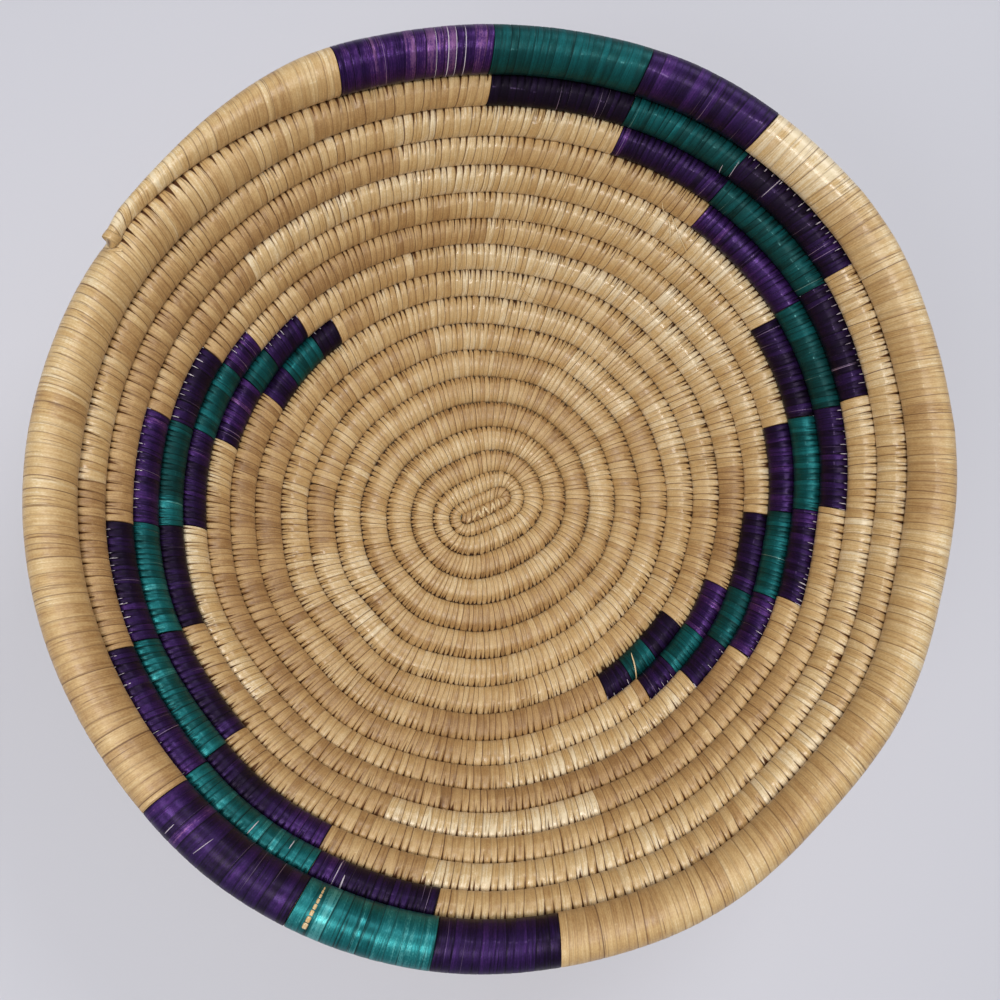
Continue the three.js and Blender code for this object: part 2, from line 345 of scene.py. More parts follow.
ordered = [("tip", TIP_START, CORE_START)]
ordered += [("natural", a, b) for a, b in zip(natural_from, natural_to)]
for row in MOTIF_ROWS:
    ordered += [("purple", row[0], row[1]), ("green", row[1], row[2]), ("purple", row[2], row[3])]
ordered.sort(key=lambda stretch: stretch[1])
stretches, strand_tones = {}, {}
all_edges = np.array([TIP_START - 1.0])
for kind, start, end in ordered:
    stretches[start], strand_tones[start] = stitch_edges(kind, start, end, all_edges)
    all_edges = np.concatenate([all_edges, stretches[start]])
print("stitches:", sum(len(edges) - 1 for edges in stretches.values()))

# %% [markdown]
# A notch sits where a stitch of the next row goes in: mostly between two stitches of this row, otherwise it
# splits one. They could all be alike, but no needle goes in the same way twice, so each has its own width,
# depth and reach.

# %% Notches
FIRST_NOTCH = -0.4
DYED_NOTCH_WIDTH = 0.6
NOTCH_ROWS = [0, 3, 9, 15, 15.4, 16.23, 16.25]
NOTCH_SIZES = {
    "half": (0.30, 0.58, [0.9, 0.98, 1.0, 0.92, 1.05, 1.05, 1.5], DYED_NOTCH_WIDTH),
    "depth": (0.6, 1.0, [0.8, 0.8, 1, 1, 1, 1, 1], 1),
    "reach": (*np.radians((40, 76)), [0.75, 0.85, 1, 1, 1, 1, 0.8], 0.72),
}


def is_dyed(turn):
    return any(kind in DYED_SPREAD and start <= turn < end for kind, start, end in ordered)


middles = np.concatenate([(edges[1:] + edges[:-1]) / 2 for edges in stretches.values()]) - 1
sewn = middles[middles > FIRST_NOTCH]
row_edges = np.unique(all_edges[1:])
index = np.clip(np.searchsorted(row_edges, sewn), 1, len(row_edges) - 1)
lower, upper = row_edges[index - 1], row_edges[index]
nearer = np.where(sewn - lower < upper - sewn, lower, upper)
between = np.abs(sewn - nearer) < PULLED_SHARE * (upper - lower)
notch_turns = np.unique(np.where(between, nearer, sewn))
dyed_notch = np.array([is_dyed(turn) for turn in notch_turns])
notch = {}
for name, (least, most, by_row, by_dye) in NOTCH_SIZES.items():
    notch[name] = dice.uniform(least, most, len(notch_turns)) * np.interp(notch_turns, NOTCH_ROWS, by_row)
    notch[name] *= np.where(dyed_notch, by_dye, 1)
print("notches:", len(notch_turns), "between two stitches:", between.sum())

# %% [markdown]
# A wrapped bundle is nearly round, pressed a little flat where it touches the next row and the table. Circles
# would leave gaps, so the section is a rounded oval that fills its room, and gets a little thicker and thinner
# along the coil.

# %% The section of a row
RING_DEGREES = np.array([-165, -145, -120, -95, -72, -54, -38, -24, -12, -3, 6, 15, 25, 36, 48, 58, 63, 66, 69,
                         77, 91, 110, 130, 150, 172])
AROUND = np.radians(RING_DEGREES)
SECTION_POWER = 2.15
HEIGHT_SHARE = 0.88
HEIGHT_DRIFT = (0.025, 22, 5)
PRESSED = 0.06
LEAVES_TABLE = 22
TABLE_GAP = 0.12
THIN_MOST = 0.3
AIMS = 9000


def drifting(turn, size, step, seed):
    """A value that drifts along the coil, with a new aim after each step in mm."""
    aims = np.random.default_rng(seed).uniform(-1, 1, AIMS)
    steps = length_at(turn) / step
    whole = np.floor(steps).astype(int)
    share = smoothstep(steps - whole, 0, 1)
    return size * (aims[whole] * (1 - share) + aims[whole + 1] * share)


def half_sizes(turn, room):
    """Half the width of a row, and its heights above and below its middle."""
    half = room / 2 + PRESSED
    upper = half * HEIGHT_SHARE * (1 + drifting(turn, *HEIGHT_DRIFT))
    off_table = smoothstep(groove_reach(turn), BASE_REACH, BASE_REACH + LEAVES_TABLE)
    resting = np.minimum(upper, BASE_HEIGHT - TABLE_GAP)
    return half, upper, resting + (upper - resting) * off_table


def rounded(side):
    return np.sign(side) * np.abs(side) ** (2 / SECTION_POWER)


def place(turn, around, raised=0.0, inward=0.0):
    """Points on a row, raised by the relief or moved inwards to the bore."""
    centre, across, up, room = section(turn)
    half, upper, lower = half_sizes(turn, room)
    thin = np.minimum(inward, THIN_MOST * half)
    cos, sin = np.cos(around), np.sin(around)
    x = rounded(cos) * (half - thin) + raised * cos
    y = rounded(sin) * (np.where(sin > 0, upper, lower) - thin) + raised * sin
    points = centre + across * x[..., None] + up * y[..., None] - MIDDLE
    points[..., 2] = np.maximum(points[..., 2], 0)
    return points


print("the crest of row 10:", place(np.array([10.0]), math.pi / 2)[0])

# %% [markdown]
# A stitch leans along the row on its way to the outer edge. Turning each strip would tear the surface, so the
# whole grid is sheared. A boolean could cut the thousands of notches, but a lowered wedge in the grid does the
# same at once.

# %% Lean and notches
LEAN = ([0, 16.2, 16.35], [-0.55, -0.75, -1.1])
LEAN_DRIFTS = ((0.35, 45, 11), (0.12, 7, 12))
NOTCH_NECK = 0.12
NOTCH_OPENS = 0.14
LEAST_TAPER = 0.001


def lean(turn):
    """How far a stitch leans along the row from its crest to its outer edge."""
    return np.interp(turn, *LEAN) + drifting(turn, *LEAN_DRIFTS[0]) + drifting(turn, *LEAN_DRIFTS[1])


def notch_field(turn, around):
    """How wide the nearest notch gapes at each point and how deep it cuts, in mm."""
    after = np.clip(np.searchsorted(notch_turns, turn), 1, len(notch_turns) - 1)
    nearest = np.where(turn - notch_turns[after - 1] < notch_turns[after] - turn, after - 1, after)
    away = np.abs(turn - notch_turns[nearest]) * mm_per_turn(turn)
    half, reach, spread = notch["half"][nearest], notch["reach"][nearest], np.abs(around)
    taper = 1 - np.maximum(spread - NOTCH_NECK, 0) / (reach - NOTCH_NECK)
    opened = smoothstep(spread, 0.0, NOTCH_OPENS) * (spread < reach)
    cut = np.clip(1 - away / (half * np.maximum(taper, LEAST_TAPER)), 0, 1) * opened
    free = turn > TAIL_END - 1
    return np.where(free, -1, half * taper - away), np.where(free, 0, cut) * notch["depth"][nearest]


print("lean at turn 10 in mm:", lean(10.0))

# %% [markdown]
# Near the middle the strips are round like fingers. On the wall they are folded: two flat faces meet in a
# fold a little outside the crest, drawn with a pale line that is partly rubbed wear and partly painted
# highlight. One relief for all rows would be simpler, but the eye sees the difference. So `ROW_RELIEF` holds
# the sizes at the turns `ON_ROWS`, and `FOLD_CLEARNESS` how deep the facets and how clear the painted fold
# highlight are on each side of the bowl. Round a row, 0 degrees is the outer groove, 90 the crest, 180 the
# inner groove.

# %% The relief of the stitches
ON_ROWS = [0, 1.5, 3, 16.2, 16.4]
ROW_RELIEF = {
    "crown": [0.16, 0.12, 0.075, 0.035, 0.012],
    "finger": [0.08, 0.15, 0.14, 0.12, 0.0],
    "step": [0.05, 0.05, 0.06, 0.07, 0.03],
    "seam": [1.1, 1.1, 1.05, 0.95, 0.75],
    "least": [0.8, 0.6, 0.42, 0.3, 0.2],
    "facet": [0, 0.02, 0.05, 0.08, 0.06],
}
DYED_FINGER = 0.3
FOLD = 66
FOLD_WIDTH = 1.8
FOLD_PULL = 25.0
# how deep the facets are and how clear the fold's painted highlight is, on each side of the bowl
FOLD_CLEARNESS = ([0, 35, 60, 80, 95, 125, 140, 200, 260, 300, 330, 360],
                  [1.0, 1.0, 0.6, 0.5, 0.65, 0.65, 0.2, 0.1, 0.25, 0.6, 1.0, 1.0])
FOLD_ROWS = ([11, 14], [0.3, 1.0])
FACET_ENDS = (12, 138)
FACET_PEAK = 27 / 4


def facets(degrees):
    """How much the two flat sides of a folded strip lie below a round, from 0 to 1."""
    outside = np.clip((degrees - FACET_ENDS[0]) / (FOLD - FACET_ENDS[0]), 0, 1)
    inside = np.clip((FACET_ENDS[1] - degrees) / (FACET_ENDS[1] - FOLD), 0, 1)
    return FACET_PEAK * (outside ** 2 * (1 - outside) + inside ** 2 * (1 - inside))


def hump(middle, spread, height=1):
    """A soft hump round a row, at so many degrees."""
    return height * np.exp(-((RING_DEGREES - middle) / spread) ** 2)


FINGER_SHAPE = 1 - smoothstep(np.abs(AROUND), math.radians(15), math.radians(70))
# Masks round a row that carry painted light: a painted sheen on the outer side, which also gathers the hair
# lines, painted light and shade on the inner side, painted shade on the flat rows' outer flank, a painted
# sheen on their crest and painted light on the wall rows' finger tips.
OUTER_SIDE = smoothstep(np.abs(RING_DEGREES), 95, 20)
INNER_PAINTED_LIGHT = smoothstep(np.abs(RING_DEGREES), 100, 150)
PAINTED_FLANK_SHADE, PAINTED_CREST_SHEEN, PAINTED_TIP_LIGHT = hump(50, 17.0, 1.35), hump(102, 26.0, 0.5), hump(22, 12.0, 0.8)
print("rings of a row:", len(RING_DEGREES))

# %% [markdown]
# The surface is a grid. Its columns run round the bundle, six to a stitch: one in the seam and five over the
# strip's back. Its rings follow the bundle, closest on the outer side, where the notches are. A bump map would
# be cheaper than this relief of a millimetre or less, but a side view and a shadow need the real shape.

# %% What chance gives each strip
COLUMNS = np.array([0, 0.085, 0.29, 0.5, 0.71, 0.915])
STRIP_DRAWS = {"raised": (-0.5, 0.5, "step"), "tilted": (-0.4, 1.0, "step"), "crown": (0.5, 1.4, "crown")}
MOSTLY_SHUT = 1.8
FOLD_SHIFT = (-3.5, 3.5)
FOLD_DRIFT = (8, 14, 41)
WEDGE = 0.13
GRAIN_PLACES = (0, 50)
SEEDS_PER_TURN = 1000


def columns_of(edges):
    """Each column's turn, place across the strip, and strip number."""
    widths = np.diff(edges)
    turns = (edges[:-1, None] + COLUMNS * widths[:, None]).ravel()
    shares = np.tile(COLUMNS, len(widths))
    strips = np.repeat(np.arange(len(widths)), len(COLUMNS))
    inside = notch_turns[(notch_turns > edges[0]) & (notch_turns < edges[-1])]
    for split, column in zip(inside, np.abs(turns - inside[:, None]).argmin(axis=1)):
        if shares[column] > 0:
            turns[column] = split
    lasts = ((turns, edges[-1]), (shares, 0.0), (strips, len(widths) - 1))
    return [np.append(values, last)[:, None] for values, last in lasts]


def drawn_strips(edges, turns, shares, strips):
    """The draws for each strip, at every column, in millimetres and degrees."""
    count = len(edges) - 1
    draw = np.random.default_rng(int(SEEDS_PER_TURN * (edges[0] + 2)))
    row = {name: np.interp(edges, ON_ROWS, sizes) for name, sizes in ROW_RELIEF.items()}
    drawn = {name: (draw.uniform(least, most, count) * row[size][:-1])[strips]
             for name, (least, most, size) in STRIP_DRAWS.items()}
    drawn["shade"] = draw.uniform(0, 1, count)[strips]
    open_seam = np.append(draw.uniform(0, 1, count) ** MOSTLY_SHUT, 1.0)
    seam = (row["least"] + (1 - row["least"]) * open_seam) * row["seam"]
    seam[0] = 1.0
    drawn["seam"] = seam[strips + (turns == edges[-1])] * (shares == 0)
    drawn["fold"] = FOLD + draw.uniform(*FOLD_SHIFT, count)[strips] + drifting(turns, *FOLD_DRIFT)
    wedge = WEDGE * draw.uniform(-1, 1, count + 1) * np.diff(length_at(edges)).mean()
    wedge[[0, -1]] = 0
    drawn["wedge"] = wedge[strips] * (1 - shares) + wedge[strips + 1] * shares
    drawn["grain"] = draw.uniform(*GRAIN_PLACES, count)[strips]
    drawn["finger"] = row["finger"][strips] * (DYED_FINGER if is_dyed(edges[0]) else 1)
    drawn["facet"] = row["facet"][strips]
    return drawn


print("columns of the first stretch:", len(columns_of(stretches[TIP_START])[0]))

# %% [markdown]
# Each point is raised or sunk by its strip's back, seam and facets and by the notches. With it goes what the
# material needs: how deep in a seam or notch it is, the strip's shade, and its place along and round the
# strip. An image could hold these, but values on the points need no file.

# %% Points and values of a stretch
END_GAP = 0.12
TAIL_ROUNDING = 2.2
TAIL_SHRINK = 1.9
SEAM_DEPTHS = (0.02, 0.11)
FACET_SHARES = (0.4, 0.6)
TWIST_DRIFT = (0.09, 9, 31)
FLAT_ROWS = ([3, 9], [1, 0])
GROOVE_SHADE_MIDDLE = -4
GROOVE_SHADE_WIDTH = ([4, 9], [23, 13])
MM_PER_RADIAN = 5.3
FLAT_LOSS = 0.2


def pulled_in(edges):
    """A stretch's first and last turn, with a small gap to the next."""
    gap = (END_GAP / 2) / mm_per_turn(edges[[0, -1]])
    return np.array([edges[0] + gap[0], edges[-1] - gap[1]])


def stacked(*parts):
    return np.stack(np.broadcast_arrays(*parts), -1)


def relief_of(turns, shares, drawn, clearness):
    """How far each point stands out of the plain section, and how wide the notches gape."""
    depth = np.where(shares == 0, SEAM_DEPTHS[0] + SEAM_DEPTHS[1] * drawn["seam"], 0.0)
    back = 4 * shares * (1 - shares)
    relief = drawn["raised"] + (shares - 0.5) * drawn["tilted"] * (shares > 0) - depth
    relief = relief + back * (drawn["crown"] + drawn["finger"] * FINGER_SHAPE)
    relief = relief - drawn["facet"] * (FACET_SHARES[0] + FACET_SHARES[1] * clearness) * facets(RING_DEGREES)
    relief = relief + drifting(turns, *TWIST_DRIFT) * np.cos(AROUND * 2)
    gape, cut_depth = notch_field(turns, AROUND)
    return relief - cut_depth, gape


def stitched(start, rounded_end=False):
    """What each point of a stretch's outside carries, as columns x rings."""
    edges = stretches[start]
    turns, shares, strips = columns_of(edges)
    drawn = drawn_strips(edges, turns, shares, strips)
    clearness = np.interp(direction(turns), *FOLD_CLEARNESS) * np.interp(turns, *FOLD_ROWS)
    turns[[0, -1], 0] = pulled_in(edges)
    relief, gape = relief_of(turns, shares, drawn, clearness)
    around = np.radians(RING_DEGREES + (drawn["fold"] - FOLD) * hump(FOLD, FOLD_PULL))
    leaning = (lean(turns) + drawn["wedge"]) * np.cos(around)
    if rounded_end:
        left = np.clip((length_at(edges[-1]) - length_at(turns)) / TAIL_ROUNDING, 0, 1)
        relief = relief - TAIL_SHRINK * (1 - np.sqrt(1 - (1 - left) ** 2))
    flat = np.interp(turns, *FLAT_ROWS)
    # painted shade in the groove where the row meets the next one outside it
    groove_shade = 1.0 - np.abs(RING_DEGREES - GROOVE_SHADE_MIDDLE) / np.interp(turns, *GROOVE_SHADE_WIDTH)
    values = {
        "seam": drawn["seam"],
        "notch": gape,
        "groove_shade": (turns < TAIL_END - 1) * np.clip(groove_shade, 0, 1),
        "fray": OUTER_SIDE,
        # outer and inner carry painted light and shade on a row's sides
        "outer": OUTER_SIDE * (1 - FLAT_LOSS * flat) + flat * (PAINTED_CREST_SHEEN - PAINTED_FLANK_SHADE) + (1 - flat) * PAINTED_TIP_LIGHT,
        "inner": INNER_PAINTED_LIGHT,
        # fold is the pale fold line: partly rubbed wear, partly painted highlight
        "fold": hump(FOLD, FOLD_WIDTH) * clearness,
        "shade": drawn["shade"],
        "tone": strand_tones[start][strips],
    }
    values = {key: np.broadcast_to(value, relief.shape) for key, value in values.items()}
    values["fibre"] = stacked(length_at(turns), AROUND * MM_PER_RADIAN, drawn["grain"])
    values["position"] = place(turn_at(length_at(turns) + leaning), around, relief)
    return values


print("stretches to stitch:", len(stretches))

# %% [markdown]
# `create_grid` makes the sheets. A sheet is rolled round the bundle and back through the bore, and its edges
# are merged. That gives one closed skin with a real thickness, which a ready-made tube hasn't. Several sheets
# can go into one piece: they lie at different heights before they are rolled.

# %% Rolling the sheets
MERGE_WITHIN = 1e-7
finishes = {}


def piece_from(name, sheets, finish, replaces=()):
    """sheets: (values, loops), values as columns x rings. A sheet that loops closes along its length too."""
    shaper = bmesh.new()
    for level, (values, loops) in enumerate(sheets):
        columns, rings = values["position"].shape[:2]
        bmesh.ops.create_grid(shaper, x_segments=columns - (not loops), y_segments=rings, size=1,
                              matrix=Matrix.Translation((0, 0, level)))
    mesh = bpy.data.meshes.new(name)
    shaper.to_mesh(mesh)
    flat = np.empty((len(mesh.vertices), 3))
    mesh.vertices.foreach_get("co", flat.ravel())
    kept = {key: np.zeros((len(flat), *value.shape[2:])) for key, value in sheets[0][0].items()}
    for level, (values, loops) in enumerate(sheets):
        columns, rings = values["position"].shape[:2]
        here = np.rint(flat[:, 2]) == level
        column = np.rint((flat[here, 0] + 1) / 2 * (columns - (not loops))).astype(int) % columns
        ring = np.rint((flat[here, 1] + 1) / 2 * rings).astype(int) % rings
        for key in kept:
            kept[key][here] = values[key][column, ring]
    kept["position"] *= MM
    for key, value in kept.items():
        kind, field = ("FLOAT_VECTOR", "vector") if value.ndim == 2 else ("FLOAT", "value")
        layer = mesh.attributes.get(key) or mesh.attributes.new(key, kind, "POINT")
        layer.data.foreach_set(field, value.ravel())
    shaper.clear()
    shaper.from_mesh(mesh)
    rims = [vertex for vertex in shaper.verts if vertex.is_boundary]
    bmesh.ops.remove_doubles(shaper, verts=rims, dist=MERGE_WITHIN)
    bmesh.ops.recalc_face_normals(shaper, faces=shaper.faces)
    shaper.to_mesh(mesh)
    shaper.free()
    mesh.shade_smooth()
    mesh.materials.append(finishes[finish])
    piece = added(name, mesh)
    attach(piece, "root")
    if replaces:
        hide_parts(*replaces)
    return piece


def capped(values):
    """The same sheet, with its first and last ring drawn together."""
    ends = values["position"][[0, -1]]
    values["position"][[0, -1]] = ends.mean(axis=1, keepdims=True)
    return values


WALL = 1.3
BORE_STEP = 7.0


def tube(start, rounded_end=False):
    """A stretch's sheet: along its outside, and back through its bore."""
    outside = stitched(start, rounded_end)
    first, last = pulled_in(stretches[start])
    if rounded_end:
        last -= TAIL_ROUNDING / mm_per_turn(last)
    count = max(2, int((length_at(last) - length_at(first)) / BORE_STEP) + 1)
    back = np.linspace(last, first, count)[:, None]
    slant = lean(back) * np.cos(AROUND)
    bore = {key: np.zeros((count, *value.shape[1:])) for key, value in outside.items()}
    bore["position"] = place(turn_at(length_at(back) + slant), AROUND + 0 * slant, 0.0, WALL)
    parts = [bore, outside] if rounded_end else [outside, bore]
    whole = {key: np.concatenate([part[key] for part in parts]) for key in bore}
    return (capped(whole), False) if rounded_end else (whole, True)


print("the wraps are", WALL, "mm thick")

# %% [markdown]
# A material is a net of nodes. Wired by hand it takes pages, so a small class stands for a value on its way
# through the net: adding or multiplying two of them adds the Math node that does it.

# %% Small helpers for materials
def sum_of(operation, turned_round=False):
    def operator(value, other):
        first, second = (other, value) if turned_round else (value, other)
        return value.finish.node("Math", {"operation": operation}, {0: first, 1: second})
    return operator


class Value:
    """A number on its way through a material."""

    def __init__(self, finish, socket):
        self.finish, self.socket = finish, socket

    def clipped(self):
        return self.finish.node("Math", {"operation": "ADD", "use_clamp": True}, {0: self, 1: 0.0})

    __add__ = __radd__ = sum_of("ADD")
    __mul__ = __rmul__ = sum_of("MULTIPLY")
    __sub__, __rsub__ = sum_of("SUBTRACT"), sum_of("SUBTRACT", turned_round=True)


class Finish:
    """One material: constants for its shader, and one method for any other node."""

    def __init__(self, name, constants):
        finishes[name] = material = bpy.data.materials.new(name)
        material.use_nodes = True
        self.tree = material.node_tree
        self.shader = self.tree.nodes["Principled BSDF"]
        for socket, value in constants.items():
            self.set(socket, value)

    def node(self, kind, settings=None, inputs=None, output=0):
        made = self.tree.nodes.new("ShaderNode" + kind)
        settings = dict(settings or {})
        stops = settings.pop("stops", {})
        for key, value in settings.items():
            setattr(made, key, value)
        for number, (position, colour) in enumerate(stops.items()):
            ramp = made.color_ramp.elements
            stop = ramp[number] if number < 2 else ramp.new(position)
            stop.position, stop.color = position, (*colour, 1)
        for key, value in (inputs or {}).items():
            self.feed(made.inputs[key], value)
        return Value(self, made.outputs[output])

    def feed(self, socket, value):
        if isinstance(value, Value):
            self.tree.links.new(value.socket, socket)
        else:
            socket.default_value = value

    def set(self, socket, value):
        self.feed(self.shader.inputs[socket], value)

    def attribute(self, name, output="Fac"):
        return self.node("Attribute", {"attribute_name": name}, output=output)

    def ramp(self, value, stops):
        return self.node("ValToRGB", {"stops": stops}, {"Fac": value})

    def mix(self, share, under, colour):
        return self.node("Mix", {"data_type": "RGBA"}, {"Factor": share, 6: under, 7: (*colour, 1)}, output=2)

    def noise(self, place, stretch, detail, roughness=0.5):
        stretched = self.node("VectorMath", {"operation": "MULTIPLY"}, {0: place, 1: stretch})
        inputs = {"Vector": stretched, "Scale": 1.0, "Detail": detail, "Roughness": roughness}
        return self.node("TexNoise", {"noise_dimensions": "3D"}, inputs)


print("finishes so far:", len(finishes))

# %% [markdown]
# Raffia is the skin of a palm leaf, torn into strips: smooth, with a soft sheen and fibres along the strip.
# One noise for all would cross the strips, so the grains follow the `fibre` attribute. `GRAINS` gives each its
# share, stretch, detail and roughness. Tone, shade and grains add up to a level, which picks the colour, and
# painted light and shade on a row's outer and inner side are added to it. Seams, notches and the grooves
# between rows are darker: painted shade where strips part and rows meet, with dark joints between the strips
# and the bundle's brown showing in the notches.

# %% The raffia finish
PLAIN_VALUES = {"seam": 0, "notch": -1, "groove_shade": 0, "fray": 0, "outer": 0, "inner": 0, "fold": 0,
                "shade": 0.5, "tone": 0.5}
GRAINS = {"fine": (0.95, (2.3, 0.09, 1), 3, 0.62), "broad": (0.6, (0.75, 0.05, 1), 2),
          "blotch": (0.4, (0.35, 0.30, 0.2), 3, 0.6), "speck": (0.45, (2.8, 1.9, 1), 1)}
HAIR, HAIR_FROM, HAIR_SHARPNESS, HAIR_SHARES = ((1.5, 0.055, 2), 2, 0.55), 0.40, 13, (0.55, 0.18)
THREADS, THREAD_SHARPNESS = ((2.6, 0.02, 3), 1), 14
TONE_SHARE, SHADE_SHARE = 0.6, 0.3
NOTCH_SHARPNESS, NOTCH_EDGE = 7, 0.45
FOLD_GRAIN, FOLD_FROM, FOLD_SHARPNESS, FOLD_SHADES = 0.6, 0.86, 9, (0.6, 0.25)
SEAM_DARKNESS = 1.4
HOLLOW_METALLIC = 0.3
DULLING = {"tone": 0.28, "fine": 0.35, "shade": 0.12, "seam": 0.2, "notch": 0.3}
BUMP = {"Strength": 0.7, "Distance": 0.00016}


def raffia(name, shades, seam_colour, notch_colour, fold_highlight_colour, constants, contrast=1.0, ground=0.05,
           outer_painted_light=0.0, inner_painted_light=0.0, light_fibres=None):
    finish = Finish(name, constants)
    fibre = finish.attribute("fibre", "Vector")
    grain = {key: finish.noise(fibre, *how) for key, (_, *how) in GRAINS.items()}
    hair = finish.noise(fibre, *HAIR)
    kept = {key: finish.attribute(key) for key in PLAIN_VALUES}
    shade, tone, fine, broad = kept["shade"], kept["tone"], grain["fine"], grain["broad"]
    grains = sum((grain[key] - 0.5) * share for key, (share, *_) in GRAINS.items())
    # painted light and shade on a row's outer and inner side, added to the level
    sides = kept["outer"] * outer_painted_light + kept["inner"] * inner_painted_light
    level = tone * TONE_SHARE + shade * SHADE_SHARE + grains * contrast + sides + ground
    colour = finish.ramp(level.clipped(), shades)
    if light_fibres:
        least, most, thread_colour = light_fibres
        share = ((finish.noise(fibre, *THREADS) - least) * THREAD_SHARPNESS).clipped() * most
        colour = finish.mix(share, colour, thread_colour)
    notch = (kept["notch"] * NOTCH_SHARPNESS + NOTCH_EDGE).clipped()
    # a pale line along the fold, partly rubbed wear and partly painted highlight, broken up by the grain
    fold_glint = ((fine * FOLD_GRAIN + grain["blotch"] - FOLD_FROM) * FOLD_SHARPNESS).clipped()
    colour = finish.mix(kept["fold"] * fold_glint * (shade * FOLD_SHADES[0] + FOLD_SHADES[1]), colour, fold_highlight_colour)
    lines = ((HAIR_FROM - hair) * HAIR_SHARPNESS).clipped() * (kept["fray"] * HAIR_SHARES[0] + HAIR_SHARES[1])
    # seams are dark joints with painted shade in them; the hair lines are split fibres
    colour = finish.mix((kept["seam"] * SEAM_DARKNESS + lines).clipped(), colour, seam_colour)
    # notches and the grooves between rows are mixed towards the notch colour: painted shade, with the bundle's
    # brown in the notches
    hollow = (notch + (kept["groove_shade"] + (broad - 0.5) * 0.5).clipped()).clipped()
    finish.set("Base Color", finish.mix(hollow, colour, notch_colour))
    # in these hollows the metallic value takes away the sheen, so that the painted shade stays dark
    bare = constants.get("Metallic", 0.0)
    finish.set("Metallic", hollow * (HOLLOW_METALLIC - bare) + bare)
    dull = {"tone": 0.5 - tone, "fine": fine - 0.5, "shade": shade - 0.5, "seam": kept["seam"], "notch": notch}
    finish.set("Roughness", sum(dull[key] * share for key, share in DULLING.items()) + constants["Roughness"])
    finish.set("Normal", finish.node("Bump", {}, {**BUMP, "Height": fine * 0.6 + broad * 0.4}))


print("grains:", *GRAINS)

# %% [markdown]
# The same strips are used natural, purple and green. One ramp with a tint could serve all, but dye sinks in
# unevenly, so each has its own ramp. The fourth finish is for fibres that the dye didn't reach.

# %% Natural, dyed and pale raffia
# After the ramp come the seam and notch colours, which carry painted shade, then the fold colour, a painted
# highlight; after contrast and ground comes the painted light on a row's outer and inner side.
raffia("natural_raffia",
       {0: (0.28, 0.145, 0.050), 0.28: (0.42, 0.245, 0.094), 0.55: (0.545, 0.352, 0.148),
        0.8: (0.655, 0.470, 0.238), 1: (0.79, 0.645, 0.42)},
       (0.12, 0.048, 0.014), (0.12, 0.042, 0.010), (0.84, 0.70, 0.46),
       {"Roughness": 0.41, "Specular IOR Level": 0.58, "Sheen Weight": 0.03}, 1.0, 0.036, 0.14, 0.16)
DYED = {"Roughness": 0.5, "Metallic": 0.65, "Specular IOR Level": 0.25, "Coat Weight": 0.03,
        "Coat Roughness": 0.3}
raffia("purple_raffia",
       {0: (0.005, 0.002, 0.008), 0.38: (0.011, 0.0035, 0.022), 0.65: (0.027, 0.008, 0.068),
        0.85: (0.062, 0.018, 0.130), 1: (0.21, 0.09, 0.23)},
       (0.003, 0.0015, 0.005), (0.003, 0.0015, 0.003), (0.30, 0.20, 0.42), DYED, 0.65, 0.05, 0.03, -0.2,
       (0.72, 0.8, (0.45, 0.32, 0.48)))
raffia("green_raffia",
       {0: (0.002, 0.020, 0.020), 0.38: (0.003, 0.056, 0.057), 0.65: (0.004, 0.104, 0.112),
        0.85: (0.013, 0.175, 0.185), 1: (0.08, 0.34, 0.34)},
       (0.002, 0.014, 0.014), (0.003, 0.005, 0.004), (0.20, 0.55, 0.54), DYED, 0.65, 0.05, 0.03, -0.2,
       (0.75, 0.6, (0.45, 0.62, 0.52)))
raffia("pale_raffia", {0: (0.32, 0.24, 0.33), 1: (0.79, 0.73, 0.75)},
       (0.2, 0.15, 0.15), (0.1, 0.05, 0.05), (0.8, 0.7, 0.7), {"Roughness": 0.5})
print("finishes:", *finishes)

# %% [markdown]
# Every stretch of natural raffia is one tube, and so is every stretch of green. One mesh with several
# materials would do, but they are separate strands, so each is a piece of its own.

# %% Natural and green wraps
def wrap(colour, index, sheets):
    """The piece of one strand, which takes the place of its node."""
    name = f"{colour}_wrap_{index + 1:02d}"
    piece_from(f"{name}_raffia", sheets, f"{colour}_raffia", [name])


for number, start in enumerate(natural_from[:-1]):
    wrap("natural", number, [tube(start)])
piece_from("tail_wrap_raffia", [tube(natural_from[-1], rounded_end=True)], "natural_raffia", ["tail_wrap"])
for number, row in enumerate(MOTIF_ROWS):
    wrap("green", number, [tube(row[1])])
print("natural wraps:", len(natural_from), "green wraps:", len(MOTIF_ROWS))

# %% [markdown]
# The purple strand isn't cut at the end of its first stretch: it lies flat along the bundle under the green
# and comes out again for the second. The two tubes could be two objects, but they are one strand, so all
# three parts go into one piece.

# %% Purple wraps with their carried strand
STRAND_HALF = 1.0
STRAND_THICK = 0.5
STRAND_GRIP = 2.5
STRAND_STEP = 6
STRAND_SUNK = 0.15
strand_corners = np.array([[-1, 0], [1, 0], [1, 1], [-1, 1]])


def carried_strand(start, end, like):
    """A flat strip on the floor of the bore, from one purple tube to the other."""
    reach = STRAND_GRIP / mm_per_turn(start)
    count = max(6, int((length_at(end) - length_at(start)) / STRAND_STEP))
    turns = np.linspace(start - reach, end + reach, count)[:, None]
    centre, across, up, room = section(turns)
    floor = -(half_sizes(turns, room)[2] - WALL) + STRAND_SUNK
    open_end = np.ones((count, 1))
    open_end[[0, -1]] = 0
    x = STRAND_HALF * strand_corners[:, 0] * open_end
    y = floor + STRAND_THICK * strand_corners[:, 1] * open_end
    values = {key: np.zeros((*x.shape, *value.shape[2:])) for key, value in like.items()}
    values["position"] = centre + across * x[..., None] + up * y[..., None] - MIDDLE
    return values, False


